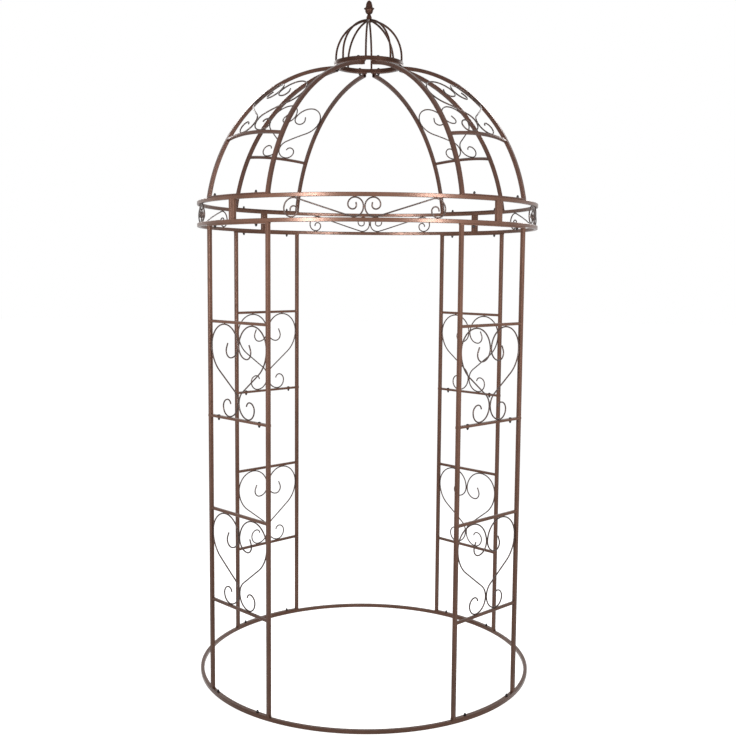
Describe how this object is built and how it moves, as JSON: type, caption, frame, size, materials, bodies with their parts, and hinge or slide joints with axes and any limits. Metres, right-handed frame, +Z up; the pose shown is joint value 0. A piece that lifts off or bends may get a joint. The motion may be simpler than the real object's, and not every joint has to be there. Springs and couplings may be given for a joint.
{
  "type": "round garden pavilion",
  "caption": "round garden pavilion of steel tube: open ladder walls with heart scrolls, a scrolled band, a ribbed dome and a finial, for climbing plants",
  "frame": {"origin": "on the ground at the centre of the base ring", "axes": "+Z up, -Y toward the front doorway, +X to the right seen from the front"},
  "size_m": [1.5158, 1.5158, 3.0148],
  "materials": {
    "frame_tube": "satin red-brown bronze powder coat",
    "scroll_rod": "satin dark grey-brown powder coat",
    "fixings": "dark coated steel"
  },
  "bodies": {
    "root": {"base_ring_front": "frame_tube", "base_ring_right": "frame_tube", "base_ring_back": "frame_tube", "base_ring_left": "frame_tube", "lower_ladder_front_left": "frame_tube", "lower_ladder_front_right": "frame_tube", "lower_ladder_back_left": "frame_tube", "lower_ladder_back_right": "frame_tube", "upper_ladder_front_left": "frame_tube", "upper_ladder_front_right": "frame_tube", "upper_ladder_back_left": "frame_tube", "upper_ladder_back_right": "frame_tube", "lower_heart_front_left": "scroll_rod", "lower_heart_front_right": "scroll_rod", "lower_heart_back_left": "scroll_rod", "lower_heart_back_right": "scroll_rod", "upper_heart_front_left": "scroll_rod", "upper_heart_front_right": "scroll_rod", "upper_heart_back_left": "scroll_rod", "upper_heart_back_right": "scroll_rod", "band_front": "frame_tube", "band_right": "frame_tube", "band_back": "frame_tube", "band_left": "frame_tube", "band_scroll_front": "scroll_rod", "band_scroll_right": "scroll_rod", "band_scroll_back": "scroll_rod", "band_scroll_left": "scroll_rod", "dome_ladder_front_left": "frame_tube", "dome_ladder_front_right": "frame_tube", "dome_ladder_back_left": "frame_tube", "dome_ladder_back_right": "frame_tube", "dome_heart_front_left": "scroll_rod", "dome_heart_front_right": "scroll_rod", "dome_heart_back_left": "scroll_rod", "dome_heart_back_right": "scroll_rod", "crown_ring": "frame_tube", "crown_rods": "frame_tube", "finial": "frame_tube", "base_bolts": "fixings", "joint_bolts": "fixings", "band_bolts": "fixings", "dome_bolts": "fixings", "crown_bolts": "fixings"}
  },
  "joints": []
}
